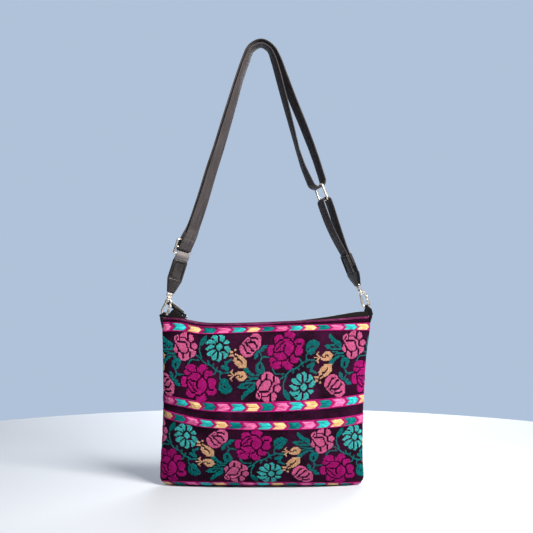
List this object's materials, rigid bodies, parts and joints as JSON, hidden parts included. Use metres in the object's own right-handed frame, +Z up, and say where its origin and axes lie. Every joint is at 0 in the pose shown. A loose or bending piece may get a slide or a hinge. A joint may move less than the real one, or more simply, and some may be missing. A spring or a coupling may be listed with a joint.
{
  "type": "crossbody bag",
  "caption": "Flat zipped velvet pouch with cross-stitched flowers and chevron bands, hung by swivel clasps from a doubled adjustable webbing strap.",
  "frame": {"origin": "under the peak of the strap, where the strap lies over the hook or shoulder that carries it", "axes": "+Z up along the hanging bag, +X along the zip to the ring side of the strap, front towards -Y"},
  "size_m": [0.2888, 0.0724, 0.6041],
  "materials": {
    "velvet": "embroidered velvet",
    "zip_cloth": "woven tape",
    "zip_plastic": "moulded",
    "ribbon": "ribbed ribbon",
    "webbing": "woven webbing",
    "leather": "satin",
    "metal": "pale gold plate"
  },
  "bodies": {
    "bag": {"front_panel": "velvet", "back_panel": "velvet", "zip_tape_front": "zip_cloth", "zip_tape_back": "zip_cloth", "zip_coil": "zip_plastic", "zip_slider": "zip_plastic", "corner_tab_left": "ribbon", "corner_tab_right": "ribbon", "clasp_eye_left": "metal", "clasp_eye_right": "metal", "strap_tab_left": "leather", "strap_tab_right": "leather", "strap_slider": "metal", "strap_ring": "metal", "strap_loop": "webbing", "strap_webbing": "webbing"},
    "hook_left": {"clasp_hook_left": "metal"},
    "gate_left": {"clasp_gate_left": "metal"},
    "hook_right": {"clasp_hook_right": "metal"},
    "gate_right": {"clasp_gate_right": "metal"},
    "pull": {"zip_pull": "zip_plastic"}
  },
  "joints": [
    {"name": "swivel_left", "type": "hinge", "parent": "bag", "child": "hook_left", "pos_m": [-0.12571, 0, -0.34281], "axis": [0.3007, 0, 0.9537], "range_deg": [-12, 12]},
    {"name": "gate_hinge_left", "type": "hinge", "parent": "hook_left", "child": "gate_left", "pos_m": [-0.12231, 0, -0.34765], "axis": [0, 1, 0], "range_deg": [0, 25], "stiffness_Nm_per_rad": 0.01},
    {"name": "swivel_right", "type": "hinge", "parent": "bag", "child": "hook_right", "pos_m": [0.13515, 0, -0.33359], "axis": [-0.3697, 0, 0.9291], "range_deg": [-12, 12]},
    {"name": "gate_hinge_right", "type": "hinge", "parent": "hook_right", "child": "gate_right", "pos_m": [0.14085, 0, -0.3352], "axis": [0, 1, 0], "range_deg": [0, 25], "stiffness_Nm_per_rad": 0.01},
    {"name": "pull_hinge", "type": "hinge", "parent": "bag", "child": "pull", "pos_m": [-0.104, 0, -0.36471], "axis": [0.454, 0.891, 0], "range_deg": [0, 115]}
  ]
}
